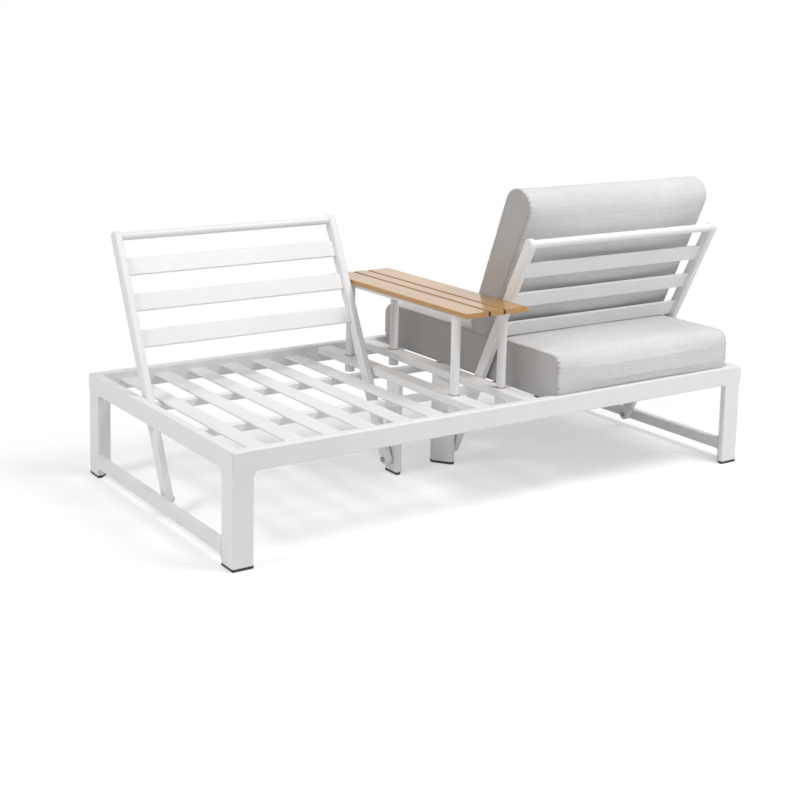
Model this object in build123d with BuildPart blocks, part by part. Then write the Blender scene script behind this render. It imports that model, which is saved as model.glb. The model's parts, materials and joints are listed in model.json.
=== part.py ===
from build123d import *
from math import acos, atan2, copysign, cos, degrees, hypot, sin
import os

# Aluminium garden bench with two seats, a small table between them and backs that flip over.
# X runs along the bench, Y across it and Z up. The origin is on the floor, at the middle.
# All sizes are in millimetres.

# Base frame
frame_length = 1600
frame_depth = 800
rail_top = 275
rail_height = 50
rail_width = 25
rail_corner = 4
tube_wall = 2

# Corner legs, centre legs and foot caps
leg_size = 55
leg_end_width = 13
foot_height = 7
foot_plug_height = 18
foot_plug_clearance = 0.2
foot_edge = 1.5

# End stretchers, which carry the outer pivots
stretcher_width = 20
stretcher_height = 30
stretcher_bottom = 26

# Beams under the slats
beam_size = 20
beam_spacing = 256
beam_corner = 2
beam_drop = 25

# Cross rails beside the table
cross_rail_width = 45
cross_rail_height = 20
cross_rail_reach = 98

# Seat slats
seat_slat_count = 6
slat_width = 50
slat_thickness = 5
slat_edge = 1.5
slat_end_gap = 54
slat_table_gap = 64.5

# Backs
back_height = 680
upright_width = 20
upright_depth = 30
upright_edge = 2.5
upright_rail_gap = 2
upright_leg_gap = 5
top_tube_diameter = 22
back_slat_count = 3
back_slat_gap = 49.5
back_slat_thickness = 8
back_slat_edge = 2
back_slat_clearance = 0.5
stop_clearance = 0.3

# Pivots
bolt_diameter = 8
bolt_head_diameter = 14
bolt_head_height = 4.4
bolt_socket_size = 5
bolt_socket_depth = 2.6
bolt_tip_clearance = 1
pivot_clearance = 0.05
pivot_end_play = 0.3
bush_diameter = 12
bush_shoulder_diameter = 16
nut_width = 13
nut_height = 8

# Table
table_top = 496
table_length = 624
plank_thickness = 13
outer_plank_width = 70
middle_plank_width = 40
plank_gap = 8
plank_edge = 1.5
bearer_width = 25
bearer_height = 10
bearer_end_inset = 55
strap_width = 30
strap_thickness = 4
post_diameter = 24
post_inset = 69
post_depth = 42
post_rest_gap = 0.3
socket_wall = 1.7
socket_play = 0.3
socket_rim = 1.5

# Cushions
soft_gap = 0.3
seat_cushion_near_inset = 3
seat_cushion_far_inset = 22
seat_cushion_side_gap = 3
seat_cushion_thickness = 123
seat_cushion_crown = 5
seat_cushion_end_crown = 2
seat_cushion_nose = 36
seat_cushion_foot = 50
seat_cushion_side_bulge = 7
back_cushion_rise = 98
back_cushion_foot_height = 340
back_cushion_width = 664
back_cushion_offset = 101
back_cushion_seam_gap = 42
back_cushion_foot_gap = 27
back_cushion_thickness = 101
back_cushion_foot_thickness = 79
back_cushion_front_crown = 8
back_cushion_top_crown = 4
back_cushion_nose = 45
back_cushion_foot_radius = 30
back_cushion_side_bulge = 12
cushion_side_inset = 12

# Heights and lines that follow from the sizes above
rail_bottom = rail_top - rail_height
rail_inner_y = frame_depth / 2 - rail_width
rail_inner_x = frame_length / 2 - rail_width
slat_bottom = rail_top - beam_drop
slat_top = slat_bottom + slat_thickness
beam_inner_y = beam_spacing / 2 - beam_size / 2
cross_rail_top = slat_bottom + cross_rail_height
cross_rail_middle = cross_rail_reach - cross_rail_width / 2
pivot_height = stretcher_bottom + stretcher_height / 2
stretcher_face = frame_length / 2 - stretcher_width
outer_upright_face = rail_inner_x - upright_rail_gap
inner_upright_face = cross_rail_reach + upright_leg_gap
back_clear_width = outer_upright_face - inner_upright_face - 2 * upright_width
bore_radius = bolt_diameter / 2 + pivot_clearance
slat_room = rail_inner_x - slat_end_gap - slat_width - slat_table_gap - cross_rail_reach
slat_pitch = slat_room / (seat_slat_count - 1)
post_y = table_length / 2 - post_inset

# Each upright leans until its side meets the rounded inner edge of a beam
stop_y = beam_inner_y + beam_corner
stop_z = slat_bottom - beam_corner - pivot_height
stop_reach = upright_depth / 2 + stop_clearance + beam_corner
lean = acos(stop_reach / hypot(stop_y, stop_z)) - atan2(stop_z, stop_y)
print("lean of each back from upright, in degrees:", round(degrees(lean), 3))

# The back's slats fill the room between the seat cushion's crown and the top tube
seat_cushion_bottom = slat_top + soft_gap
seat_seam_top = seat_cushion_bottom + seat_cushion_thickness
seat_crown_top = seat_seam_top + seat_cushion_crown
slat_lift = seat_crown_top + back_slat_clearance - pivot_height + back_slat_thickness / 2 * sin(lean)
back_slat_start = slat_lift / cos(lean)
back_slat_pitch = (back_height - top_tube_diameter / 2 - back_slat_start) / back_slat_count
back_slat_width = back_slat_pitch - back_slat_gap
back_cushion_top = back_height + back_cushion_rise

ends = (("left", -1), ("right", 1))
sides = (("front", -1), ("rear", 1))

# Faces that carry a pivot, and the way from each towards its upright
pivot_mounts = (
    (-stretcher_face, 1, outer_upright_face),
    (-cross_rail_reach, -1, inner_upright_face),
    (cross_rail_reach, 1, inner_upright_face),
    (stretcher_face, -1, outer_upright_face),
)

os.makedirs("parts", exist_ok=True)


def write(piece, label):
    """Label a finished piece and write it as one STEP file."""
    piece.part.label = label
    export_step(piece.part, f"parts/{label}.step")


def draw_tube(width, height, corner):
    """Draw the section of a rectangular tube in the open sketch."""
    RectangleRounded(width, height, corner)
    Rectangle(width - 2 * tube_wall, height - 2 * tube_wall, mode=Mode.SUBTRACT)


def draw_bar(width, height, edge):
    """Draw the section of a solid bar with cut edges in the open sketch."""
    far_x, far_y = width / 2, height / 2
    near_x, near_y = far_x - edge, far_y - edge
    Polygon(
        (near_x, -far_y), (far_x, -near_y), (far_x, near_y), (near_x, far_y),
        (-near_x, far_y), (-far_x, near_y), (-far_x, -near_y), (-near_x, -far_y),
    )


def draw_ring(outer_radius, inner_radius):
    """Draw a ring in the open sketch."""
    Circle(outer_radius)
    Circle(inner_radius, mode=Mode.SUBTRACT)


# Long rails, mitred at both ends
for side_name, side in sides:
    with BuildPart() as long_rail:
        with BuildSketch(Plane.YZ.offset(-frame_length / 2)):
            with Locations((side * (frame_depth - rail_width) / 2, (rail_top + rail_bottom) / 2)):
                draw_tube(rail_width, rail_height, rail_corner)
        extrude(amount=frame_length)
        for end_name, end in ends:
            corner_point = (end * frame_length / 2, side * frame_depth / 2, 0)
            split(bisect_by=Plane(origin=corner_point, z_dir=(-end, side, 0)), keep=Keep.TOP)
    write(long_rail, f"{side_name}_rail")

# End rails, mitred to meet the long ones
for end_name, end in ends:
    with BuildPart() as end_rail:
        with BuildSketch(Plane.XZ.offset(-frame_depth / 2)):
            with Locations((end * (frame_length - rail_width) / 2, (rail_top + rail_bottom) / 2)):
                draw_tube(rail_width, rail_height, rail_corner)
        extrude(amount=frame_depth)
        for side_name, side in sides:
            corner_point = (end * frame_length / 2, side * frame_depth / 2, 0)
            split(bisect_by=Plane(origin=corner_point, z_dir=(end, -side, 0)), keep=Keep.TOP)
    write(end_rail, f"{end_name}_end_rail")


def leg_outline(corner, reach_x, reach_y):
    """Return the section of a leg: a square corner, two narrow ends and a slant between them."""
    x, y = corner
    end_x = copysign(leg_end_width, reach_x)
    end_y = copysign(leg_end_width, reach_y)
    return (
        (x, y), (x + reach_x, y), (x + reach_x, y + end_y),
        (x + end_x, y + reach_y), (x, y + reach_y),
    )


# Legs: name, section, top and, where a pivot's bolt goes through, the way that face looks.
# Each corner leg has its square corner outside. The centre ones stand under the cross rails.
legs = []
for end_name, end in ends:
    for side_name, side in sides:
        corner = (end * frame_length / 2, side * frame_depth / 2)
        section = leg_outline(corner, -end * leg_size, -side * leg_size)
        legs.append((f"{side_name}_{end_name}_leg", section, rail_bottom, 0))
    section = leg_outline((end * cross_rail_reach, leg_size / 2), -end * cross_rail_width, -leg_size)
    legs.append((f"{end_name}_center_leg", section, slat_bottom, end))

for leg_name, section, leg_top, bore_way in legs:
    with BuildPart() as leg:
        with BuildSketch(Plane.XY.offset(foot_height)) as leg_section:
            Polygon(*section, align=None)
            fillet(leg_section.vertices(), radius=rail_corner)
        extrude(amount=leg_top - foot_height)
        with BuildSketch(Plane.XY.offset(foot_height)):
            Polygon(*section, align=None)
            offset(amount=-tube_wall, kind=Kind.INTERSECTION, mode=Mode.REPLACE)
        extrude(amount=leg_top - foot_height - tube_wall, mode=Mode.SUBTRACT)
        if bore_way:
            bore_start = (bore_way * cross_rail_reach, 0, pivot_height)
            with BuildSketch(Plane(origin=bore_start, z_dir=(bore_way, 0, 0))):
                Circle(bore_radius)
            extrude(amount=-2 * tube_wall, mode=Mode.SUBTRACT)
    write(leg, leg_name)

# Foot caps: a black shoe under each leg, with a plug up inside the tube
with BuildPart() as foot_caps:
    with BuildSketch() as shoes:
        for leg_name, section, leg_top, bore_way in legs:
            Polygon(*section, align=None)
        chamfer(shoes.vertices(), length=rail_corner / 2)
    extrude(amount=foot_height)
    chamfer(foot_caps.edges().group_by(Axis.Z)[0], length=foot_edge)
    with BuildSketch(Plane.XY.offset(foot_height)):
        for leg_name, section, leg_top, bore_way in legs:
            Polygon(*section, align=None)
        offset(amount=-(tube_wall + foot_plug_clearance), kind=Kind.INTERSECTION, mode=Mode.REPLACE)
    extrude(amount=foot_plug_height)
write(foot_caps, "foot_caps")

# End stretchers, cut to fit the corner legs' ends and slants, with a hole for the pivot's bolt
stretcher_end_y = frame_depth / 2 - leg_size + stretcher_width - leg_end_width
for end_name, end in ends:
    with BuildPart() as stretcher:
        with BuildSketch(Plane.XZ.offset(-stretcher_end_y)):
            with Locations((end * (stretcher_face + stretcher_width / 2), pivot_height)):
                draw_tube(stretcher_width, stretcher_height, beam_corner)
        extrude(amount=2 * stretcher_end_y)
        with BuildSketch(Plane.XY.offset(stretcher_bottom)):
            for leg_name, section, leg_top, bore_way in legs:
                Polygon(*section, align=None)
        extrude(amount=stretcher_height, mode=Mode.SUBTRACT)
        with BuildSketch(Plane(origin=(end * stretcher_face, 0, pivot_height), z_dir=(-end, 0, 0))):
            Circle(bore_radius)
        extrude(amount=-stretcher_width / 2, mode=Mode.SUBTRACT)
    write(stretcher, f"{end_name}_stretcher")

# Beams under the slats, which are also the stops of both backs
for side_name, side in sides:
    with BuildPart() as beam:
        with BuildSketch(Plane.YZ.offset(-rail_inner_x)):
            with Locations((side * beam_spacing / 2, slat_bottom - beam_size / 2)):
                draw_tube(beam_size, beam_size, beam_corner)
        extrude(amount=2 * rail_inner_x)
    write(beam, f"{side_name}_beam")

# Cross rails, bored for the sockets of the table's posts
socket_radius = post_diameter / 2 + socket_play + socket_wall
for end_name, end in ends:
    with BuildPart() as cross_rail:
        with BuildSketch(Plane.XZ.offset(-rail_inner_y)):
            with Locations((end * cross_rail_middle, slat_bottom + cross_rail_height / 2)):
                draw_tube(cross_rail_width, cross_rail_height, beam_corner)
        extrude(amount=2 * rail_inner_y)
        with BuildSketch(Plane.XY.offset(slat_bottom)):
            with Locations((end * cross_rail_middle, 0)):
                with GridLocations(0, 2 * post_y, 1, 2):
                    Circle(socket_radius)
        extrude(amount=cross_rail_height, mode=Mode.SUBTRACT)
    write(cross_rail, f"{end_name}_cross_rail")

# Seat slats, counted from the end of the bench to the table
for end_name, end in ends:
    for index in range(seat_slat_count):
        slat_x = rail_inner_x - slat_end_gap - slat_width / 2 - index * slat_pitch
        with BuildPart() as seat_slat:
            with BuildSketch(Plane.XZ.offset(-rail_inner_y)):
                with Locations((end * slat_x, slat_bottom + slat_thickness / 2)):
                    draw_bar(slat_width, slat_thickness, slat_edge)
            extrude(amount=2 * rail_inner_y)
        write(seat_slat, f"{end_name}_seat_slat_{index + 1}")

# Cups for the table's posts, set through the cross rails, with a low rim on top
with BuildPart() as post_sockets:
    with BuildSketch(Plane.XY.offset(cross_rail_top + socket_rim)):
        with GridLocations(2 * cross_rail_middle, 2 * post_y, 2, 2):
            draw_ring(socket_radius, post_diameter / 2 + socket_play)
    extrude(amount=-(socket_rim + post_depth + post_rest_gap))
    with BuildSketch(Plane.XY.offset(cross_rail_top - post_depth - post_rest_gap)):
        with GridLocations(2 * cross_rail_middle, 2 * post_y, 2, 2):
            Circle(socket_radius)
    extrude(amount=-socket_wall)
write(post_sockets, "post_sockets")


def pivot_plane(mount, distance):
    """Plane square to a pivot's axis, at a distance from the face that carries it."""
    face, way, upright_face = mount
    return Plane(origin=(face + way * distance, 0, pivot_height), z_dir=(way, 0, 0))


def pivot_gap(mount):
    """Gap from the face that carries a pivot to the upright beside it."""
    face, way, upright_face = mount
    return abs(upright_face - abs(face))


# Hexagon nuts welded inside the stretchers and centre legs
with BuildPart() as nuts:
    for mount in pivot_mounts:
        with BuildSketch(pivot_plane(mount, -tube_wall)):
            RegularPolygon(nut_width / 2, 6, major_radius=False)
            Circle(bore_radius, mode=Mode.SUBTRACT)
        extrude(amount=-nut_height)
write(nuts, "pivot_nuts")

# Bolts with a hexagon socket, put in from the seat's side
with BuildPart() as bolts:
    for mount in pivot_mounts:
        head_seat = pivot_gap(mount) + upright_width + pivot_end_play
        bolt_tip = bolt_tip_clearance - tube_wall - nut_height
        with BuildSketch(pivot_plane(mount, bolt_tip)):
            Circle(bolt_diameter / 2)
        extrude(amount=head_seat - bolt_tip)
        with BuildSketch(pivot_plane(mount, head_seat)):
            Circle(bolt_head_diameter / 2)
        extrude(amount=bolt_head_height)
    for mount in pivot_mounts:
        head_top = pivot_gap(mount) + upright_width + pivot_end_play + bolt_head_height
        with BuildSketch(pivot_plane(mount, head_top)):
            RegularPolygon(bolt_socket_size / 2, 6, major_radius=False)
        extrude(amount=-bolt_socket_depth, mode=Mode.SUBTRACT)
write(bolts, "pivot_bolts")


def back_plane(lean_side):
    """Side view of a back: x runs up the back, y towards the sitter and z along the bench."""
    up = (0, lean_side * sin(lean), cos(lean))
    return Plane(origin=(0, 0, pivot_height), x_dir=up, z_dir=(lean_side, 0, 0))


# Backs. The left one leans to the rear and the right one, turned half round, to the front
backs = (("left_back", 1), ("right_back", -1))
back_inner_start = -outer_upright_face + upright_width
for back_name, lean_side in backs:
    upright_starts = (
        ("outer", -outer_upright_face),
        ("inner", -inner_upright_face - upright_width),
    )
    for upright_name, start in upright_starts:
        with BuildPart() as upright:
            with BuildSketch(back_plane(lean_side).offset(start)):
                with Locations((back_height / 2, 0)):
                    SlotCenterToCenter(back_height, upright_depth)
            extrude(amount=upright_width)
            rims = upright.edges().group_by(Axis.X)
            chamfer(rims[0] + rims[-1], length=upright_edge)
            with BuildSketch(back_plane(lean_side).offset(start)):
                Circle(bush_diameter / 2)
            extrude(amount=upright_width, mode=Mode.SUBTRACT)
        write(upright, f"{back_name}_{upright_name}_upright")

    with BuildPart() as top_tube:
        with BuildSketch(back_plane(lean_side).offset(back_inner_start)):
            with Locations((back_height, 0)):
                draw_ring(top_tube_diameter / 2, top_tube_diameter / 2 - tube_wall)
        extrude(amount=back_clear_width)
    write(top_tube, f"{back_name}_top_tube")

    for index in range(back_slat_count):
        slat_foot = back_slat_start + (back_slat_count - 1 - index) * back_slat_pitch
        with BuildPart() as back_slat:
            with BuildSketch(back_plane(lean_side).offset(back_inner_start)):
                with Locations((slat_foot + back_slat_width / 2, 0)):
                    draw_bar(back_slat_width, back_slat_thickness, back_slat_edge)
            extrude(amount=back_clear_width)
        write(back_slat, f"{back_name}_slat_{index + 1}")

    # Bushes through the uprights, with a shoulder that keeps each clear of its leg or stretcher
    with BuildPart() as bushes:
        for upright_name, start in upright_starts:
            if upright_name == "outer":
                mount_face, way, gap = start, 1, stretcher_face - outer_upright_face
            else:
                mount_face, way, gap = start + upright_width, -1, upright_leg_gap
            with BuildSketch(back_plane(lean_side).offset(mount_face)):
                draw_ring(bush_diameter / 2, bore_radius)
            extrude(amount=way * upright_width)
            with BuildSketch(back_plane(lean_side).offset(mount_face)):
                draw_ring(bush_shoulder_diameter / 2, bore_radius)
            extrude(amount=-way * (gap - pivot_end_play))
    write(bushes, f"{back_name}_bushes")

# Table planks, side by side along Y
plank_bottom = table_top - plank_thickness
bearer_bottom = plank_bottom - bearer_height
outer_plank_x = middle_plank_width / 2 + plank_gap + outer_plank_width / 2
table_planks = (
    ("left", -outer_plank_x, outer_plank_width),
    ("middle", 0, middle_plank_width),
    ("right", outer_plank_x, outer_plank_width),
)
for plank_name, plank_x, plank_width in table_planks:
    with BuildPart() as plank:
        with BuildSketch(Plane.XZ.offset(-table_length / 2)):
            with Locations((plank_x, table_top - plank_thickness / 2)):
                draw_bar(plank_width, plank_thickness, plank_edge)
        extrude(amount=table_length)
    write(plank, f"table_{plank_name}_plank")

# Under-frame: two bearers over the posts, joined by flat straps under the planks
with BuildPart() as underframe:
    with BuildSketch(Plane.XY.offset(bearer_bottom)):
        with GridLocations(2 * cross_rail_middle, 0, 2, 1):
            Rectangle(bearer_width, table_length - 2 * bearer_end_inset)
    extrude(amount=bearer_height)
    with BuildSketch(Plane.XY.offset(plank_bottom)):
        with GridLocations(0, 2 * post_y, 1, 2):
            Rectangle(2 * cross_rail_middle - bearer_width, strap_width)
    extrude(amount=-strap_thickness)
write(underframe, "table_underframe")

# Table posts, which drop into the sockets
post_bottom = cross_rail_top - post_depth
for end_name, end in ends:
    for side_name, side in sides:
        with BuildPart() as post:
            with BuildSketch(Plane.XY.offset(post_bottom)):
                with Locations((end * cross_rail_middle, side * post_y)):
                    draw_ring(post_diameter / 2, post_diameter / 2 - tube_wall)
            extrude(amount=bearer_bottom - post_bottom)
            with BuildSketch(Plane.XY.offset(post_bottom)):
                with Locations((end * cross_rail_middle, side * post_y)):
                    Circle(post_diameter / 2)
            extrude(amount=tube_wall)
        write(post, f"table_{side_name}_{end_name}_post")

# A cushion is drawn as slices from side to side. A slice's share of the half width gives its
# crown, and at each side the cloth bulges past the seam and draws in.
crown_slice_shares = (-1, -0.86, -0.62, -0.25, 0.25, 0.62, 0.86, 1)
side_slice_shares = ((0.5, 0.2), (1, 1))


def cushion_slices(start, end, side_bulge):
    """Return place, inset and crown share of each slice between two sides."""
    middle = (start + end) / 2
    half = (end - start) / 2 - side_bulge
    crowned = [(middle + share * half, 0, 1 - share**4) for share in crown_slice_shares]
    bulge = [(out * side_bulge, drawn * cushion_side_inset) for out, drawn in side_slice_shares]
    low_side = [(middle - half - out, inset, 0) for out, inset in reversed(bulge)]
    high_side = [(middle + half + out, inset, 0) for out, inset in bulge]
    return low_side + crowned + high_side


# Seat cushion. Its side view is a long box with round noses, drawn from near to far
def draw_seat_cushion(inset, crown_share):
    """Draw one slice of the seat cushion, inset all round or crowned."""
    end_crown = seat_cushion_end_crown * (1 - crown_share)
    near = seat_cushion_near_inset - frame_depth / 2 + inset + end_crown
    far = frame_depth / 2 - seat_cushion_far_inset - inset - end_crown
    low = seat_cushion_bottom + inset
    high = seat_seam_top - inset
    nose = seat_cushion_nose - inset
    foot = seat_cushion_foot - inset
    crown = seat_cushion_crown * crown_share
    with BuildLine() as outline:
        Line((near + foot, low), (far - foot, low))
        RadiusArc((far - foot, low), (far, low + foot), -foot)
        Line((far, low + foot), (far, high - nose))
        RadiusArc((far, high - nose), (far - nose, high), -nose)
        if crown:
            middle = (near + far) / 2
            ThreePointArc((far - nose, high), (middle, high + crown), (near + nose, high))
        else:
            Line((far - nose, high), (near + nose, high))
        RadiusArc((near + nose, high), (near, high - nose), -nose)
        Line((near, high - nose), (near, low + foot))
        RadiusArc((near, low + foot), (near + foot, low), -foot)
    make_face(outline.edges())


seat_cushion_start = inner_upright_face + upright_width + seat_cushion_side_gap
seat_cushion_end = outer_upright_face - upright_width - seat_cushion_side_gap
with BuildPart() as seat_cushion:
    for place, inset, crown_share in cushion_slices(
        seat_cushion_start, seat_cushion_end, seat_cushion_side_bulge
    ):
        with BuildSketch(Plane.YZ.offset(place)):
            draw_seat_cushion(inset, crown_share)
    loft(ruled=True)
    with BuildSketch(Plane.YZ.offset(seat_cushion_start)):
        for side_name, side in sides:
            with Locations((side * (rail_inner_y - soft_gap), rail_top + soft_gap)):
                outward = Align.MIN if side > 0 else Align.MAX
                Rectangle(rail_width + soft_gap, rail_height, align=(outward, Align.MAX))
    extrude(amount=seat_cushion_end - seat_cushion_start, mode=Mode.SUBTRACT)
write(seat_cushion, "seat_cushion")

# Back cushion. Its side view is drawn up the back, with the sitter's side at larger y
def draw_back_cushion(inset, crown_share):
    """Draw one slice of the back cushion, inset all round or crowned."""
    tube_side = top_tube_diameter / 2 + soft_gap
    front_crown = back_cushion_front_crown * crown_share
    top = back_cushion_top - inset + back_cushion_top_crown * crown_share
    foot = back_cushion_foot_height + inset
    back_high = back_cushion_seam_gap + inset
    back_low = back_cushion_foot_gap + inset
    front_high = back_high + back_cushion_thickness - 2 * inset + front_crown
    front_low = back_low + back_cushion_foot_thickness - 2 * inset + front_crown
    back_high = back_high + crown_share * (tube_side - back_high)
    back_low = back_low + crown_share * (tube_side - back_low)
    nose = back_cushion_nose - inset
    toe = back_cushion_foot_radius - inset
    with BuildLine() as outline:
        Line((foot, back_low), (top - nose, back_high))
        RadiusArc((top - nose, back_high), (top, back_high + nose), -nose)
        Line((top, back_high + nose), (top, front_high - nose))
        RadiusArc((top, front_high - nose), (top - nose, front_high), -nose)
        Line((top - nose, front_high), (foot + toe, front_low))
        RadiusArc((foot + toe, front_low), (foot, front_low - toe), -toe)
        Line((foot, front_low - toe), (foot, back_low))
    make_face(outline.edges())


with BuildPart() as back_cushion:
    for place, inset, crown_share in cushion_slices(
        -back_cushion_offset - back_cushion_width, -back_cushion_offset, back_cushion_side_bulge
    ):
        with BuildSketch(back_plane(-1).offset(place)):
            draw_back_cushion(inset, crown_share)
    loft(ruled=True)
    split(bisect_by=Plane.XY.offset(seat_crown_top + soft_gap), keep=Keep.TOP)
write(back_cushion, "right_back_cushion")
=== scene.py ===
import json
import math

import bmesh
import bpy
import numpy as np
from mathutils import Matrix, Vector, kdtree, noise


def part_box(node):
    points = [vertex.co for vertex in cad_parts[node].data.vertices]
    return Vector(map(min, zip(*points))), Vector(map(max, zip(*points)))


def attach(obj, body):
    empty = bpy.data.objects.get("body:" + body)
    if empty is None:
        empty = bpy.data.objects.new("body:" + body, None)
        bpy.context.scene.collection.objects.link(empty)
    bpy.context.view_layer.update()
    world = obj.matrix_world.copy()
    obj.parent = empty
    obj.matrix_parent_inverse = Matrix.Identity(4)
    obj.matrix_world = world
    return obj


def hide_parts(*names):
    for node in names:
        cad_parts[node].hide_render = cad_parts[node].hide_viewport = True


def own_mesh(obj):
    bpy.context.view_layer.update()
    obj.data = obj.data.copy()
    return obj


# The garden bench, dressed over its CAD frame. All lengths are in metres.
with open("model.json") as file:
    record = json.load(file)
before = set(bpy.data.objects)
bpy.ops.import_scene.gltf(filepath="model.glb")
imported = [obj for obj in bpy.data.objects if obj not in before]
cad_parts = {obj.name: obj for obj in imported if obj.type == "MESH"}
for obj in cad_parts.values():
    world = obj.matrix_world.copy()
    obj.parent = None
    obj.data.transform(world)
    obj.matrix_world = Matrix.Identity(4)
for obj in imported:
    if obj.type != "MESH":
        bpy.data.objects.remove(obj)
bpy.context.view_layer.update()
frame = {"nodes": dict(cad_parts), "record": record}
scene = bpy.context.scene
nodes = frame["nodes"]

# Sizes that the dressing shares with the part
half_length, half_depth = 0.8, 0.4
rail_bottom, rail_top, rail_width = 0.225, 0.275, 0.025
leg_size, leg_end, corner_round = 0.055, 0.013, 0.004
stretcher_low, stretcher_high = 0.026, 0.056
pivot_z, lean = 0.041, math.radians(25.955)
post_x, post_y, post_radius, socket_top = 0.0755, 0.243, 0.012, 0.2715
plank_edge_x, plank_gap, plank_low, plank_high, table_half = 0.020, 0.008, 0.483, 0.496, 0.312
ends = (("left", -1), ("right", 1))
sides = (("front", -1), ("rear", 1))
corners = [(f"{side_name}_{end_name}", end, side) for end_name, end in ends for side_name, side in sides]


class Tree:
    """The nodes of a material or a world, with short calls to add and join them."""

    def __init__(self, owner):
        owner.use_nodes = True
        self.owner = owner
        self.nodes = owner.node_tree.nodes
        self.links = owner.node_tree.links

    def add(self, kind, inputs=None, **settings):
        node = self.nodes.new(kind)
        for key, value in settings.items():
            setattr(node, key, value)
        for key, value in (inputs or {}).items():
            self.put(node, key, value)
        return node

    def put(self, node, key, value):
        """Give an input its value, or join it to another node's output."""
        if isinstance(value, bpy.types.NodeSocket):
            self.links.new(value, node.inputs[key])
        else:
            node.inputs[key].default_value = value

    def place(self, scale=(1, 1, 1), rotation=(0, 0, 0)):
        """Object coordinates in metres, turned and then stretched."""
        source = self.add("ShaderNodeTexCoord").outputs["Object"]
        if any(rotation):
            turned = self.add("ShaderNodeMapping", {"Vector": source, "Rotation": rotation})
            source = turned.outputs["Vector"]
        return self.add("ShaderNodeMapping", {"Vector": source, "Scale": scale}).outputs["Vector"]

    def noise(self, vector, scale=1.0, detail=3.0, roughness=0.5):
        inputs = {"Vector": vector, "Scale": scale, "Detail": detail, "Roughness": roughness}
        return self.add("ShaderNodeTexNoise", inputs).outputs["Fac"]

    def ramp(self, value, stops):
        node = self.add("ShaderNodeValToRGB", {"Fac": value})
        elements = node.color_ramp.elements
        while len(elements) < len(stops):
            elements.new(0.5)
        for element, (position, colour) in zip(elements, stops):
            element.position = position
            element.color = tuple(colour) + (1,)
        return node.outputs["Color"]

    def scaled(self, value, low, high, start=0.0, end=1.0):
        """The value as it goes from start to end, turned into one from low to high."""
        inputs = {"Value": value, "From Min": start, "From Max": end, "To Min": low, "To Max": high}
        return self.add("ShaderNodeMapRange", inputs).outputs["Result"]

    def maths(self, operation, first, second=0.0):
        return self.add("ShaderNodeMath", {0: first, 1: second}, operation=operation).outputs[0]

    def tinted(self, first, second, factor, mode="MULTIPLY"):
        """A colour mixed with a second one. The mix node's colour sockets are its 6th and 7th."""
        inputs = {0: factor, 6: first, 7: second}
        return self.add("ShaderNodeMix", inputs, data_type="RGBA", blend_type=mode).outputs[2]

    def bump(self, height, strength, distance, normal=None):
        node = self.add("ShaderNodeBump", {"Height": height, "Strength": strength, "Distance": distance})
        if normal is not None:
            self.put(node, "Normal", normal)
        return node.outputs["Normal"]

    def softened_edge(self, radius):
        return self.add("ShaderNodeBevel", {"Radius": radius}, samples=4).outputs["Normal"]

    def attribute(self, name):
        return self.add("ShaderNodeAttribute", attribute_name=name).outputs["Fac"]

    def shade(self, **values):
        """Set the material's shader, and hand back the material."""
        for key, value in values.items():
            self.put(self.nodes["Principled BSDF"], key.replace("_", " "), value)
        return self.owner

    def seen(self):
        """1 for what the camera sees, straight or by gloss or glass, and 0 for light on things."""
        path = self.add("ShaderNodeLightPath").outputs
        mirrored = self.maths("MAXIMUM", path["Is Glossy Ray"], path["Is Transmission Ray"])
        return self.maths("MAXIMUM", path["Is Camera Ray"], mirrored)


def new_tree(name):
    return Tree(bpy.data.materials.new(name))


def greys(start, dark, end, light):
    """A ramp's two stops, from a darker grey to a lighter one."""
    return ((start, (dark,) * 3), (end, (light,) * 3))


def white_coating():
    """Satin powder coat, with a faint cloud in its tone, a fine speckle and softened edges."""
    t = new_tree("white_powder_coat")
    place = t.place()
    cloudy = t.noise(place, 9.0, 3.0)
    speckle = t.noise(place, 1500.0, 2.0)
    tones = ((0.3, (0.872, 0.868, 0.868)), (0.7, (0.902, 0.899, 0.9)))
    return t.shade(
        Base_Color=t.tinted(t.ramp(cloudy, tones), t.ramp(speckle, greys(0.35, 0.965, 0.65, 1)), 0.6),
        Roughness=t.scaled(t.noise(place, 40.0, 3.0), 0.34, 0.46, 0.3, 0.7),
        Normal=t.bump(speckle, 0.08, 0.0003, t.softened_edge(0.0014)),
    )


def black_rubber():
    t = new_tree("black_foot_rubber")
    place = t.place()
    grain = t.noise(place, 700.0, 3.0)
    tones = ((0.35, (0.018, 0.018, 0.019)), (0.7, (0.05, 0.049, 0.047)))
    return t.shade(
        Base_Color=t.ramp(t.noise(place, 30.0), tones),
        Roughness=t.scaled(grain, 0.5, 0.75),
        Normal=t.bump(grain, 0.3, 0.0005),
    )


def plain_metal(name, dark, light, smooth, rough):
    t = new_tree(name)
    brushed = t.noise(t.place((280, 280, 280)), 1.0, 3.0)
    return t.shade(
        Base_Color=t.ramp(brushed, greys(0.3, dark, 0.7, light)),
        Metallic=1.0,
        Roughness=t.scaled(brushed, smooth, rough),
        Normal=t.bump(brushed, 0.1, 0.0003),
    )


def nylon(name, dark, light):
    t = new_tree(name)
    place = t.place()
    grain = t.noise(place, 900.0)
    return t.shade(
        Base_Color=t.ramp(t.noise(place, 60.0), greys(0.3, dark, 0.7, light)),
        Roughness=t.scaled(grain, 0.4, 0.55),
        Normal=t.bump(grain, 0.1, 0.0003),
    )


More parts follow.
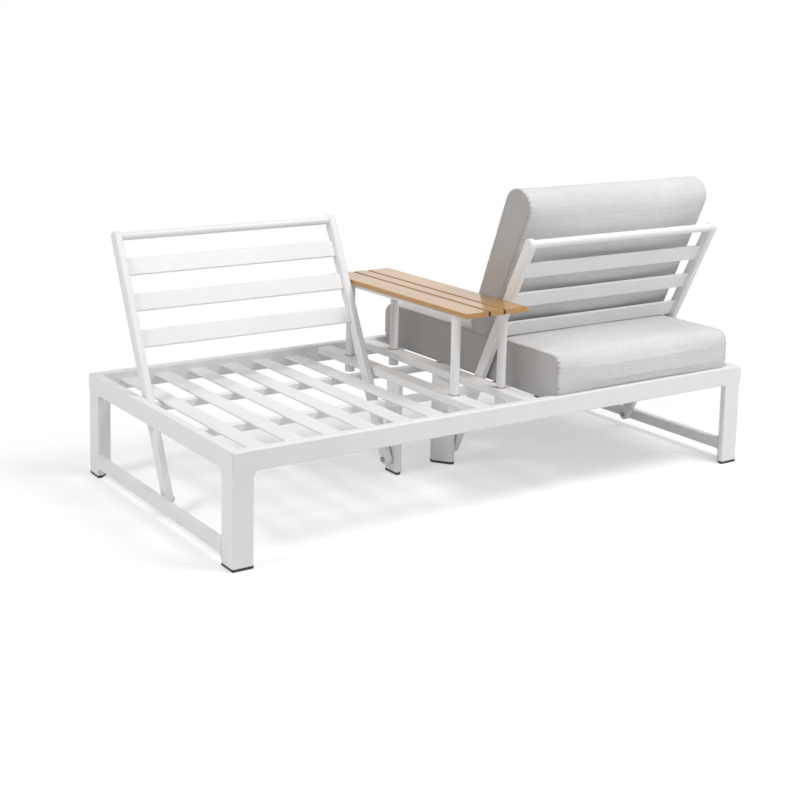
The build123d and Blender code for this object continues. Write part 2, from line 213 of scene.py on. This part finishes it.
def table_wood():
    """Wood-look planks: grain along Y, each plank in its own tone, under a glossy clear coat."""
    t = new_tree("table_wood")
    own = t.add("ShaderNodeObjectInfo").outputs["Random"]
    shift_x = t.maths("MULTIPLY", own, 7.0)
    shift_y = t.maths("MULTIPLY", own, 3.0)
    shift = t.add("ShaderNodeCombineXYZ", {"X": shift_x, "Y": shift_y}).outputs["Vector"]
    source = t.add("ShaderNodeTexCoord").outputs["Object"]
    moved = t.add("ShaderNodeVectorMath", {0: source, 1: shift}, operation="ADD").outputs["Vector"]

    def grain(scale, detail, roughness):
        place = t.add("ShaderNodeMapping", {"Vector": moved, "Scale": scale}).outputs["Vector"]
        return t.noise(place, 1.0, detail, roughness)

    bands = grain((38, 2.2, 38), 4.0, 0.55)
    streaks = grain((420, 7, 420), 4.0, 0.6)
    pores = grain((1500, 45, 1500), 2.0, 0.5)
    tones = ((0.25, (0.45, 0.213, 0.032)), (0.5, (0.5, 0.252, 0.043)), (0.78, (0.55, 0.295, 0.064)))
    dark_streaks = ((0.3, (0.82, 0.77, 0.7)), (0.62, (1, 1, 1)))
    dark_pores = ((0.28, (0.62, 0.54, 0.46)), (0.45, (1, 1, 1)))
    base = t.tinted(t.ramp(bands, tones), t.ramp(streaks, dark_streaks), 0.5)
    base = t.tinted(base, t.ramp(pores, dark_pores), 0.3)
    tone = t.scaled(own, 0.95, 1.04)
    grey = t.add("ShaderNodeCombineColor", {"Red": tone, "Green": tone, "Blue": tone}).outputs[0]
    height = t.maths("ADD", t.maths("MULTIPLY", streaks, 0.6), t.maths("MULTIPLY", pores, 0.4))
    edge = t.softened_edge(0.0012)
    return t.shade(
        Base_Color=t.tinted(base, grey, 1.0),
        Roughness=t.scaled(streaks, 0.3, 0.44, 0.3, 0.7),
        Normal=t.bump(height, 0.12, 0.0003, edge),
        Coat_Weight=0.85,
        Coat_Roughness=0.1,
        Coat_Normal=edge,
    )


def cushion_cloth(name, tilt):
    """Heathered pale cloth, darker on the side panels: slubs along X, a fine weave, and painted shade
    along the seams and in their puckers.
    """
    t = new_tree(name)
    turn = (-tilt, 0, 0)
    plain = t.place((1, 1, 1), turn)
    cloudy = t.noise(plain, 7.0, 3.0)
    slubs = t.noise(t.place((55, 900, 900), turn), 1.0, 3.0, 0.65)
    warp = t.noise(t.place((900, 70, 70), turn), 1.0, 3.0, 0.65)
    fibres = t.noise(plain, 850.0, 3.0, 0.6)
    heather = t.noise(t.place((26, 190, 190), turn), 1.0, 4.0, 0.7)
    crease = t.noise(plain, 26.0, 3.0, 0.55)
    weave = {"Vector": plain, "Scale": 205.0, "Distortion": 0.6, "Detail": 1.0, "Detail Scale": 3.0}
    threads = 0.0
    for direction in ("X", "Y", "Z"):
        wave = t.add("ShaderNodeTexWave", weave, bands_direction=direction).outputs["Fac"]
        threads = t.maths("ADD", threads, wave)

    main_tones = ((0.3, (0.765, 0.757, 0.752)), (0.7, (0.83, 0.823, 0.818)))
    side_tones = ((0.3, (0.535, 0.525, 0.52)), (0.7, (0.585, 0.575, 0.57)))
    heather_tones = ((0.34, (0.88, 0.875, 0.875)), (0.62, (1.0, 1.0, 1.0)))
    # The dark seam tone is painted shade, for the seam grooves and the puckers beside them.
    seam_shade_tone = (0.2, 0.19, 0.185, 1)
    on_side = t.scaled(t.attribute("side"), 0.0, 1.0, 0.46, 0.54)
    colour = t.tinted(t.ramp(cloudy, main_tones), t.ramp(cloudy, side_tones), on_side, "MIX")
    colour = t.tinted(colour, t.ramp(heather, heather_tones), 0.55)
    colour = t.tinted(colour, t.ramp(slubs, greys(0.3, 0.86, 0.68, 1.0)), 0.5)
    colour = t.tinted(colour, t.ramp(warp, greys(0.3, 0.9, 0.68, 1.0)), 0.45)
    colour = t.tinted(colour, t.ramp(fibres, greys(0.34, 0.86, 0.6, 1.0)), 0.4)
    colour = t.tinted(colour, seam_shade_tone, t.scaled(t.attribute("seam"), 0.0, 0.9))
    normal = t.bump(crease, 0.2, 0.005)
    normal = t.bump(t.maths("ADD", slubs, warp), 0.35, 0.0006, normal)
    normal = t.bump(threads, 0.3, 0.0004, normal)
    return t.shade(
        Base_Color=colour,
        Roughness=0.92,
        Normal=normal,
        Sheen_Weight=0.2,
        Sheen_Roughness=0.5,
        Specular_IOR_Level=0.25,
    )


def seam_thread():
    t = new_tree("seam_thread")
    twist = t.noise(t.place((600, 600, 600)), 1.0, 2.0)
    tones = ((0.35, (0.16, 0.155, 0.15)), (0.65, (0.34, 0.33, 0.32)))
    return t.shade(Base_Color=t.ramp(twist, tones), Roughness=0.85, Normal=t.bump(twist, 0.4, 0.0004))


materials = {
    "white_coating": white_coating(),
    "black_rubber": black_rubber(),
    "bolt_steel": plain_metal("bolt_steel", 0.26, 0.4, 0.3, 0.42),
    "white_nylon": nylon("white_nylon", 0.78, 0.86),
    "zinc_plated_steel": plain_metal("zinc_plated_steel", 0.52, 0.68, 0.28, 0.4),
    "table_wood": table_wood(),
    "cushion_cloth": cushion_cloth("seat_cushion_cloth", 0.0),
}
back_cloth = cushion_cloth("back_cushion_cloth", lean)
ring_material = nylon("post_seal_nylon", 0.26, 0.36)
thread_material = seam_thread()

slots = {s["node"]: s["material_slot"] for s in frame["record"]["subparts"]}
for name, node in nodes.items():
    node.data.materials.clear()
    node.data.materials.append(materials[slots[name]])


def new_piece(name, vertices, faces, material=None):
    """A piece in the scene from points and faces, with its normals out."""
    mesh = bpy.data.meshes.new(name)
    mesh.from_pydata([tuple(v) for v in vertices], [], faces)
    b = bmesh.new()
    b.from_mesh(mesh)
    bmesh.ops.recalc_face_normals(b, faces=b.faces)
    bmesh.ops.triangulate(b, faces=[f for f in b.faces if len(f.verts) > 4])
    b.to_mesh(mesh)
    b.free()
    if material:
        mesh.materials.append(material)
    piece = bpy.data.objects.new(name, mesh)
    scene.collection.objects.link(piece)
    return piece


def tube_faces(rings, size, closed_on_itself=False):
    """Faces that join rings of points, with or without flat ends."""
    faces = []
    for r in range(rings if closed_on_itself else rings - 1):
        s = (r + 1) % rings
        for i in range(size):
            j = (i + 1) % size
            faces.append((r * size + i, r * size + j, s * size + j, s * size + i))
    if not closed_on_itself:
        faces.append(tuple(range(size - 1, -1, -1)))
        faces.append(tuple((rings - 1) * size + i for i in range(size)))
    return faces


def rounded(outline, arc_steps=10, edge_steps=16):
    """A closed outline through corners, each rounded to its radius, as an array of points."""
    points = []
    count = len(outline)
    arcs = []
    for i, (corner, radius) in enumerate(outline):
        corner = np.array(corner, float)
        before = np.array(outline[i - 1][0], float) - corner
        after = np.array(outline[(i + 1) % count][0], float) - corner
        before /= np.linalg.norm(before)
        after /= np.linalg.norm(after)
        half = math.acos(float(np.clip(before @ after, -1, 1))) / 2
        middle = before + after
        centre = corner + middle / np.linalg.norm(middle) * radius / math.sin(half)
        setback = radius / math.tan(half)
        first = math.atan2(*(corner + before * setback - centre)[::-1])
        last = math.atan2(*(corner + after * setback - centre)[::-1])
        sweep = (last - first + math.pi) % (2 * math.pi) - math.pi
        turns = [first + sweep * s / arc_steps for s in range(arc_steps + 1)]
        arcs.append([centre + radius * np.array((math.cos(a), math.sin(a))) for a in turns])
    for i, arc in enumerate(arcs):
        points += arc
        following = arcs[(i + 1) % count][0]
        points += [arc[-1] + (following - arc[-1]) * s / edge_steps for s in range(1, edge_steps)]
    return np.array(points)


def even(low, high, count):
    return [low + (high - low) * i / (count - 1) for i in range(count)]


def limited(values, start, room):
    """Values past the start, eased so that they never get past the room beyond it."""
    past = np.maximum(values - start, 0)
    return np.where(values > start, start + room * (1 - np.exp(-past / room)), values)


def fading(distance, reach):
    """1 at no distance, about a third at the reach, and near 0 beyond twice that."""
    return np.exp(-((distance / reach) ** 2))


def change_along(values, reach):
    """How much a closed row of values changes round each, over so many places each way."""
    return np.roll(values, -reach, axis=0) - np.roll(values, reach, axis=0)


def unit(vectors):
    return vectors / np.linalg.norm(vectors, axis=1, keepdims=True)


def noise_along(along, frequency, row):
    """Smooth noise along a seam. Each use has a row of its own."""
    return np.array([noise.noise(Vector((a * frequency, row, 0))) for a in along])


def points_of(mesh, what="co"):
    values = np.empty(len(mesh.vertices) * 3)
    mesh.vertices.foreach_get(what, values)
    return values.reshape(-1, 3)


def put_points(mesh, co):
    mesh.vertices.foreach_set("co", co.ravel())
    mesh.update()


def tree_of(points):
    tree = kdtree.KDTree(len(points))
    for i, p in enumerate(points):
        tree.insert(p, i)
    tree.balance()
    return tree


def apply_modifiers(piece):
    """Replace the mesh by the result of its modifiers."""
    graph = bpy.context.evaluated_depsgraph_get()
    result = bpy.data.meshes.new_from_object(piece.evaluated_get(graph), depsgraph=graph)
    old = piece.data
    piece.modifiers.clear()
    piece.data = result
    bpy.data.meshes.remove(old)


class Seam:
    """A closed seam round a side panel: even points, with the way into the panel and the bend at each."""

    spacing = 0.0015
    full_bend = 0.6

    def __init__(self, ring, side):
        ring = np.concatenate((ring, ring[:1]))
        walked = np.concatenate(([0], np.cumsum(np.linalg.norm(np.diff(ring, axis=0), axis=1))))
        count = int(walked[-1] / self.spacing)
        self.along = np.arange(count) * walked[-1] / count
        self.points = np.stack([np.interp(self.along, walked, ring[:, k]) for k in range(3)], axis=1)
        tangent = unit(change_along(self.points, 3))
        self.inward = np.cross(np.array((1.0, 0, 0)), tangent)
        if np.sum((self.points.mean(axis=0) - self.points) * self.inward) < 0:
            self.inward *= -1
        turn = np.linalg.norm(change_along(tangent, 8), axis=1)
        self.bend = np.clip(turn / self.full_bend, 0, 1)
        self.side = side


# The cloth simulation: its mesh size, its frames, and how often its result is evened out
voxel, cloth_frames, smoothing_rounds = 0.0055, 20, 40


def smoothed(mesh, moved):
    """Even out folds in how far the cloth has moved, and leave what is held where it is."""
    edge_ends = np.empty(len(mesh.edges) * 2, dtype=np.int64)
    mesh.edges.foreach_get("vertices", edge_ends)
    first, second = edge_ends[0::2], edge_ends[1::2]
    degree = np.bincount(edge_ends, minlength=len(moved))[:, None]
    free = np.linalg.norm(moved, axis=1, keepdims=True) > 1e-6
    for _ in range(smoothing_rounds):
        total = np.zeros_like(moved)
        np.add.at(total, first, moved[second])
        np.add.at(total, second, moved[first])
        moved = np.where(free, (moved + total / degree) / 2, 0)
    return moved


def swollen(piece, seams, cap):
    """Remesh the cushion and let cloth under pressure swell it between its seams, up to the cap."""
    remesh = piece.modifiers.new("remesh", "REMESH")
    remesh.mode = "VOXEL"
    remesh.voxel_size = voxel
    apply_modifiers(piece)
    rest = points_of(piece.data)
    tree = tree_of(np.concatenate([s.points for s in seams]))
    held = piece.vertex_groups.new(name="held")
    for i, p in enumerate(rest):
        if tree.find(p)[2] < 1.1 * voxel:
            held.add([i], 1.0, "REPLACE")
    cloth = piece.modifiers.new("cloth", "CLOTH")
    settings = cloth.settings
    settings.quality = 4
    settings.mass = 0.25
    settings.use_pressure = True
    settings.uniform_pressure_force = 4.0
    settings.tension_stiffness = 12
    settings.compression_stiffness = 12
    settings.shear_stiffness = 6
    settings.bending_stiffness = 2.0
    settings.vertex_group_mass = "held"
    settings.effector_weights.gravity = 0
    cloth.collision_settings.use_collision = False
    cloth.point_cache.frame_start = 1
    cloth.point_cache.frame_end = cloth_frames
    for step in range(1, cloth_frames + 1):
        scene.frame_set(step)
    apply_modifiers(piece)
    piece.vertex_groups.clear()
    scene.frame_set(1)
    moved = smoothed(piece.data, points_of(piece.data) - rest)
    length = np.linalg.norm(moved, axis=1, keepdims=True)
    length[length == 0] = 1
    put_points(piece.data, rest + moved * np.minimum(length, cap) / length)


def subdivided(piece):
    smooth = piece.modifiers.new("subdivision", "SUBSURF")
    smooth.levels = 1
    smooth.render_levels = 1
    apply_modifiers(piece)


def eased_sides(co, low, high, bulge, share):
    """Hold back how far the side panels swell out past their seams."""
    for seam_x, way in ((low, -1), (high, 1)):
        out = way * (co[:, 0] - seam_x)
        eased = seam_x + way * bulge * (1 - np.exp(-out * share / bulge))
        co[:, 0] = np.where(out > 0, eased, co[:, 0])
    return co


# How far a seam's marks reach: the puckers and the painted shade ticks on the side panel and on the face
# beside it
panel_pucker, face_pucker = 0.0045, 0.0085
panel_tick, face_tick = 0.003, 0.0075
groove_reach, line_reach, slack_reach, panel_edge = 0.0028, 0.0035, 0.05, 0.008
tick_spacing, stitch_spacing, seam_offset = 0.0135, 0.0055, 10


def sew(piece, seams, pucker, groove, slack):
    """Press the seams in, pucker the cloth beside them, and mark the side panels and the painted seam
    shade for the material.
    """
    mesh = piece.data
    co, normal = points_of(mesh), points_of(mesh, "normal")
    samples = np.concatenate([s.points for s in seams])
    tree = tree_of(samples)
    found = [tree.find(p) for p in co]
    nearest = np.array([f[1] for f in found])
    distance = np.array([f[2] for f in found])
    inward = np.concatenate([s.inward for s in seams])[nearest]
    side = np.concatenate([np.full(len(s.points), s.side) for s in seams])[nearest]
    along = np.concatenate([s.along + seam_offset * k for k, s in enumerate(seams)])[nearest]
    bend = np.concatenate([s.bend for s in seams])[nearest]
    offset = co - samples[nearest]
    onto_panel = np.sum(offset * inward, axis=1) + side * offset[:, 0]
    on_panel = onto_panel > 0

    # Puckers, strongest in the corners, a groove on the seam, and slack cloth away from it
    wave = noise_along(along, 95, 3.7) + 0.7 * noise_along(along, 210, 9.1)
    uneven = np.maximum(0.0, 0.5 + 1.6 * noise_along(along, 11, 1.3))
    reach = np.where(on_panel, panel_pucker, face_pucker)
    beside = distance / reach * np.exp(1 - distance / reach)
    weight = np.where(on_panel, 0.55, 1.0) * (0.45 + 1.1 * bend)
    loose = np.array([noise.noise(Vector(p * 7)) + 0.5 * noise.noise(Vector(p * 17 + 3)) for p in co])
    height = pucker * wave * uneven * beside * weight - groove * fading(distance, groove_reach)
    height = height + slack * loose * (1 - fading(distance, slack_reach))
    put_points(mesh, co + normal * height[:, None])

    # What the material draws: the side panels, and painted shade: a dark line in the seam's groove and
    # short dark ticks across it where the puckers are
    dashes = np.clip(0.5 + 2 * np.sin(along * 2 * math.pi / tick_spacing), 0, 1)
    pucker_shade = fading(distance, np.where(on_panel, panel_tick, face_tick))
    pucker_shade = pucker_shade * np.clip(0.2 + 1.5 * bend * uneven, 0, 1)
    seam_shade = 0.5 * fading(distance, line_reach) + dashes * pucker_shade
    for name, values in (
        ("side", np.clip(0.5 + onto_panel / panel_edge, 0, 1)),
        ("seam", np.clip(seam_shade, 0, 1)),
    ):
        layer = mesh.attributes.new(name, "FLOAT", "POINT")
        layer.data.foreach_set("value", values.astype(np.float32))


def stitch(piece, seams, radius, sides_of_thread=6, lift=0.0003):
    """Lay a stitched thread along each seam, on the cloth as it now lies, as part of the piece."""
    mesh = piece.data
    co, normal = points_of(mesh), points_of(mesh, "normal")
    tree = tree_of(co)
    b = bmesh.new()
    b.from_mesh(mesh)
    first = len(b.faces)
    angles = [2 * math.pi * k / sides_of_thread for k in range(sides_of_thread)]
    for seam in seams:
        near = [[f[1] for f in tree.find_n(p, 4)] for p in seam.points]
        path = np.array([co[n].mean(axis=0) for n in near])
        out = np.array([normal[n].mean(axis=0) for n in near])
        for _ in range(3):
            path = (np.roll(path, 1, axis=0) + path + np.roll(path, -1, axis=0)) / 3
            out = (np.roll(out, 1, axis=0) + out + np.roll(out, -1, axis=0)) / 3
        out = unit(out)
        path = path + out * lift
        across = np.cross(unit(change_along(path, 1)), out)
        size = radius * (0.75 + 0.35 * np.sin(seam.along * 2 * math.pi / stitch_spacing))
        rings = []
        for p, o, a, r in zip(path, out, across, size):
            rings.append([b.verts.new(p + r * (math.cos(t) * o + math.sin(t) * a)) for t in angles])
        for i, ring in enumerate(rings):
            following = rings[(i + 1) % len(rings)]
            for k in range(sides_of_thread):
                j = (k + 1) % sides_of_thread
                b.faces.new((ring[k], ring[j], following[j], following[k]))
    b.faces.ensure_lookup_table()
    for face in b.faces[first:]:
        face.material_index = 1
    bmesh.ops.recalc_face_normals(b, faces=b.faces[first:])
    b.to_mesh(mesh)
    b.free()


def finish_cloth(piece, cloth):
    """Give the cushion its cloth and thread, and smooth shading."""
    mesh = piece.data
    mesh.materials.clear()
    mesh.materials.append(cloth)
    mesh.materials.append(thread_material)
    mesh.polygons.foreach_set("use_smooth", np.ones(len(mesh.polygons), bool))
    mesh.update()


def swept_cushion(name, outline, seams_x, world, sections=40):
    """A cushion's plain form, its side outline swept along X, and the seams of its side panels."""
    places = even(*seams_x, sections)
    points = [world(a, b, x) for x in places for a, b in outline]
    piece = new_piece(name, points, tube_faces(len(places), len(outline)))
    rings = [np.array([world(a, b, x) for a, b in outline]) for x in seams_x]
    return piece, [Seam(ring, way) for ring, way in zip(rings, (-1, 1))]


# How far the cushions may stand past their sides, and how far they stay off their neighbours
side_room, clearance = 0.001, 0.0003

# Seat cushion, drawn from its end: a runs to the rear, b up
slat_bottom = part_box("right_back_slat_3")[0][2]
seat_low, seat_high = 0.2553, 0.3783
seat_near, seat_far = -0.397, 0.378
seat_start, seat_end, seat_bulge = 0.126, 0.750, 0.007
seat_seams_x = (seat_start + seat_bulge, seat_end - seat_bulge)
seat_inset, seat_top, seat_crown = 0.001, seat_high + 0.0012, 0.0042
seat_outline = rounded(
    (
        ((seat_near + seat_inset, seat_low + seat_inset), 0.040),
        ((seat_far - seat_inset, seat_low + seat_inset), 0.040),
        ((seat_far - seat_inset, seat_top), 0.034),
        ((seat_near + seat_inset, seat_top), 0.030),
    )
)


def seat_world(a, b, x):
    return (x, a, b)


def settled_seat(co):
    """Flat on the slats and clear of the rails, the uprights and the back's lowest slat."""
    co[:, 2] = np.clip(co[:, 2], seat_low, slat_bottom - clearance)
    co[:, 0] = np.clip(co[:, 0], seat_start - side_room, seat_end + side_room)
    co[:, 1] = np.clip(co[:, 1], seat_near - 0.0025, seat_far + 0.003)
    rail_inside = half_depth - rail_width - clearance
    for sign in (-1, 1):
        out = sign * co[:, 1] - rail_inside
        deep = rail_top + clearance - co[:, 2]
        over = (out > 0) & (deep > 0)
        raised = over & (deep <= out)
        co[raised, 2] = rail_top + clearance
        co[over & ~raised, 1] = sign * rail_inside
    return co


seat, seat_seams = swept_cushion("seat_cushion_soft", seat_outline, seat_seams_x, seat_world)
swollen(seat, seat_seams, cap=0.026)
subdivided(seat)
co = points_of(seat.data)
co[:, 2] = limited(co[:, 2], seat_top, seat_crown)
put_points(seat.data, eased_sides(co, *seat_seams_x, seat_bulge, share=0.8))
sew(seat, seat_seams, pucker=0.0020, groove=0.0024, slack=0.0011)
put_points(seat.data, settled_seat(points_of(seat.data)))
stitch(seat, seat_seams, radius=0.0009)
finish_cloth(seat, materials["cushion_cloth"])
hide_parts("seat_cushion")
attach(seat, "bench_frame")

# Back cushion, drawn along the back: a runs up it, b from its middle plane towards the sitter
back_start, back_end, back_bulge = 0.101, 0.765, 0.012
back_seams_x = (back_start + back_bulge, back_end - back_bulge)
back_foot, back_top, back_highest = 0.341, 0.781, 0.7905
front_foot, front_top, front_crown = 0.108, 0.146, 0.014
uprights_front, slats_front = 0.0165, 0.0116
inner_upright_end, outer_upright_start = 0.126, 0.7505
up = np.array((0, -math.sin(lean), math.cos(lean)))
forward_way = np.array((0, math.cos(lean), math.sin(lean)))
rest_height = 0.3837
back_outline = rounded(
    (
        ((back_foot, 0.028), 0.012),
        ((back_foot, front_foot), 0.030),
        ((back_top, front_top), 0.046),
        ((back_top, 0.043), 0.046),
    )
)


def back_world(a, b, x):
    p = up * a + forward_way * b
    return (x, p[1], pivot_z + p[2])


def settled_back(co):
    """Clear of the back's tube, slats and uprights, and flat where it rests on the seat cushion."""
    shifted = co - np.array((0, 0, pivot_z))
    a, b = shifted @ up, shifted @ forward_way
    on_upright = (co[:, 0] < inner_upright_end) | (co[:, 0] > outer_upright_start)
    least = np.where(on_upright, uprights_front, slats_front)
    settled = np.maximum(limited(b, front_top, front_crown), least)
    co += forward_way[None, :] * (settled - b)[:, None]
    co -= up[None, :] * np.maximum(a - back_highest, 0)[:, None]
    co[:, 2] = np.maximum(co[:, 2], rest_height)
    co[:, 0] = np.clip(co[:, 0], back_start - side_room, back_end + side_room)
    return co


back, back_seams = swept_cushion("back_cushion_soft", back_outline, back_seams_x, back_world)
swollen(back, back_seams, cap=0.03)
subdivided(back)
put_points(back.data, eased_sides(points_of(back.data), *back_seams_x, back_bulge, share=0.9))
sew(back, back_seams, pucker=0.0044, groove=0.0026, slack=0.0014)
put_points(back.data, settled_back(points_of(back.data)))
stitch(back, back_seams, radius=0.0010)
finish_cloth(back, back_cloth)
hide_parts("right_back_cushion")
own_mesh(back)
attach(back, "right_back")


def prism(name, face, along, slot, body):
    """A straight piece: a flat outline of points pushed along a vector."""
    vertices = [Vector(p) for p in face] + [Vector(p) + Vector(along) for p in face]
    piece = new_piece(name, vertices, tube_faces(2, len(face)), materials[slot])
    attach(piece, body)


def weld(name, face, along):
    prism(name, face, along, "white_coating", "bench_frame")


def hollow_corner(radius, sunk, steps=8):
    """A weld's section in a corner: a square with a round bite, sunk a little into both sides."""
    turns = [math.pi * (1.5 - 0.5 * s / steps) for s in range(steps + 1)]
    arc = [(radius + radius * math.cos(t), radius + radius * math.sin(t)) for t in turns]
    return [(-sunk, -sunk), (radius, -sunk)] + arc + [(-sunk, radius)]


# Ground welds: flush fills where the corner legs meet the rails, and hollow ones in the corners
fill_depth, fill_low, fill_high, proud = 0.005, 0.0008, 0.0046, 0.00006
rail_weld = hollow_corner(0.009, corner_round)
stretcher_weld = hollow_corner(0.011, corner_round / 2)
inner_x, inner_y = half_length - leg_size, half_depth - leg_size
arc_x, arc_y, arc_radius = half_length - corner_round, half_depth - corner_round, corner_round + proud
quarter_turn = [math.pi * s / 12 for s in range(7)]
fill_outline = [
    (half_length + proud, inner_y),
    *((arc_x + arc_radius * math.cos(t), arc_y + arc_radius * math.sin(t)) for t in quarter_turn),
    (inner_x, half_depth + proud),
    (inner_x, half_depth - fill_depth),
    (half_length - fill_depth, half_depth - fill_depth),
    (half_length - fill_depth, inner_y),
]
for name, end, side in corners:
    into_x, into_y = (-end * leg_end, 0, 0), (0, -side * leg_end, 0)
    face = [(end * x, side * y, rail_bottom - fill_low) for x, y in fill_outline]
    weld(f"leg_weld_{name}", face, (0, 0, fill_low + fill_high))
    face = [(end * (inner_x - a), side * half_depth, rail_bottom - b) for a, b in rail_weld]
    weld(f"rail_corner_weld_{name}", face, into_y)
    face = [(end * half_length, side * (inner_y - a), rail_bottom - b) for a, b in rail_weld]
    weld(f"end_rail_corner_weld_{name}", face, into_x)
    for edge_name, height, way in (("top", stretcher_high, 1), ("bottom", stretcher_low, -1)):
        face = [(end * half_length, side * (inner_y - a), height + way * b) for a, b in stretcher_weld]
        weld(f"stretcher_{edge_name}_weld_{name}", face, into_x)


def lathe(name, profile, centre, material, steps=48):
    """A turned piece about Z: profile is radius and height pairs, closed back on the first."""
    angles = [2 * math.pi * s / steps for s in range(steps)]
    centre = Vector(centre)
    vertices = [Vector((r * math.cos(a), r * math.sin(a), h)) + centre for a in angles for r, h in profile]
    piece = new_piece(name, vertices, tube_faces(steps, len(profile), closed_on_itself=True), material)
    for polygon in piece.data.polygons:
        polygon.use_smooth = True
    return piece


# Seals round the table's posts, on the rims of their sockets: out from the post and up from the rim
seal_section = (
    (0.00015, 0),
    (0.0018, 0),
    (0.0023, 0.0004),
    (0.0023, 0.0012),
    (0.0016, 0.0018),
    (0.0004, 0.0017),
)
seal_profile = [(post_radius + out, height) for out, height in seal_section]
seal_lift = 0.00005
for name, end, side in corners:
    centre = (end * post_x, side * post_y, socket_top + seal_lift)
    ring = lathe(f"post_ring_{name}", seal_profile, centre, ring_material)
    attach(ring, "bench_frame")

# Black spacers in the gaps between the planks, at both ends of the table
spacer_length, spacer_inset, spacer_top = 0.012, 0.0008, plank_high - 0.002
for gap_name, way in ends:
    for side_name, side in sides:
        near, far = way * plank_edge_x, way * (plank_edge_x + plank_gap)
        y = side * (table_half - spacer_inset)
        face = [(near, y, plank_low), (far, y, plank_low), (far, y, spacer_top), (near, y, spacer_top)]
        name = f"plank_spacer_{gap_name}_{side_name}"
        prism(name, face, (0, -side * spacer_length, 0), "black_rubber", "table")

# The studio: how far the floor reaches, where it fades to white, and how light its shadow is
floor_size, floor_z, fade_distance, floor_glow = 30.0, -0.0006, 0.45, 0.35
white = (1, 1, 1, 1)


def floor_material():
    """Pale, with the bench's shadow near it, and plain white to the camera farther off."""
    t = new_tree("studio_floor")
    t.nodes.remove(t.nodes["Principled BSDF"])
    seen = t.seen()
    source = t.add("ShaderNodeTexCoord").outputs["Object"]
    split = t.add("ShaderNodeSeparateXYZ", {"Vector": source}).outputs
    beyond_x = t.maths("SUBTRACT", t.maths("ABSOLUTE", split["X"]), half_length)
    beyond_y = t.maths("SUBTRACT", t.maths("ABSOLUTE", split["Y"]), half_depth)
    beyond = {"Value": t.maths("MAXIMUM", beyond_x, beyond_y), "From Min": 0.0, "From Max": fade_distance}
    far_off = t.add("ShaderNodeMapRange", beyond, interpolation_type="SMOOTHSTEP").outputs["Result"]
    strength = t.maths("MULTIPLY", seen, floor_glow)
    diffuse = t.add("ShaderNodeBsdfDiffuse", {"Color": (0.8, 0.8, 0.8, 1)}).outputs[0]
    glow = t.add("ShaderNodeEmission", {"Color": white, "Strength": strength}).outputs[0]
    plain = t.add("ShaderNodeEmission", {"Color": white, "Strength": 1.0}).outputs[0]
    shadowed = t.add("ShaderNodeAddShader", {0: diffuse, 1: glow}).outputs[0]
    share = t.maths("MULTIPLY", seen, far_off)
    blend = t.add("ShaderNodeMixShader", {0: share, 1: shadowed, 2: plain}).outputs[0]
    t.put(t.nodes["Material Output"], "Surface", blend)
    return t.owner


floor = new_piece(
    "studio_floor",
    [(x * floor_size, y * floor_size, floor_z) for x, y in ((-1, -1), (1, -1), (1, 1), (-1, 1))],
    [(0, 1, 2, 3)],
    floor_material(),
)


def studio_world(level):
    """White to the camera and in gloss, and the given level as light on the bench."""
    t = Tree(bpy.data.worlds.new("studio"))
    t.nodes.clear()
    strength = t.scaled(t.seen(), level, 1.0)
    background = t.add("ShaderNodeBackground", {"Color": white, "Strength": strength}).outputs[0]
    t.add("ShaderNodeOutputWorld", {"Surface": background})
    return t.owner


def soft_light(name, place, target, width, height, power):
    data = bpy.data.lights.new(name, "AREA")
    data.shape = "RECTANGLE"
    data.size = width
    data.size_y = height
    data.energy = power
    lamp = bpy.data.objects.new(name, data)
    scene.collection.objects.link(lamp)
    lamp.location = place
    lamp.rotation_euler = (Vector(target) - Vector(place)).to_track_quat("-Z", "Y").to_euler()


scene.world = studio_world(level=0.4)
soft_light("front_high", (1.1, -1.7, 3.2), (0.2, 0, 0.2), width=1.6, height=1.2, power=64)
soft_light("left_high", (-4.2, -0.1, 4.3), (0, 0, 0.3), width=1.15, height=1.15, power=76)
soft_light("left_low", (-6.5, -1.2, 1.2), (0.1, 0, 0.3), width=2.0, height=1.5, power=22)
soft_light("front_right", (2.4, -3.2, 1.2), (0.3, 0, 0.3), width=1.6, height=1.2, power=6)

# The photograph's camera: its turn in degrees, focal length and optical centre in pixels, sensor in mm
photo_size, sensor_width = 800, 36
focal, centre_x, centre_y = 1423.9, 323.9, 223.5
yaw, pitch, roll = (math.radians(v) for v in (32.184, 8.487, 0.773))
camera_place = Vector((-2.236, -3.042, 1.233))
forward = Vector((math.sin(yaw) * math.cos(pitch), math.cos(yaw) * math.cos(pitch), -math.sin(pitch)))
right = Vector((math.cos(yaw), -math.sin(yaw), 0))
upward = right.cross(forward)
turned_right = right * math.cos(roll) + upward * math.sin(roll)
turned_up = upward * math.cos(roll) - right * math.sin(roll)
camera_data = bpy.data.cameras.new("camera")
camera_data.sensor_fit = "HORIZONTAL"
camera_data.sensor_width = sensor_width
camera_data.lens = focal / photo_size * sensor_width
camera_data.shift_x = (photo_size / 2 - centre_x) / photo_size
camera_data.shift_y = (centre_y - photo_size / 2) / photo_size
camera_data.clip_end = 100
camera = bpy.data.objects.new("camera", camera_data)
scene.collection.objects.link(camera)
pose = Matrix((turned_right, turned_up, -forward)).transposed().to_4x4()
pose.translation = camera_place
camera.matrix_world = pose
scene.camera = camera
scene.view_settings.view_transform = "Standard"
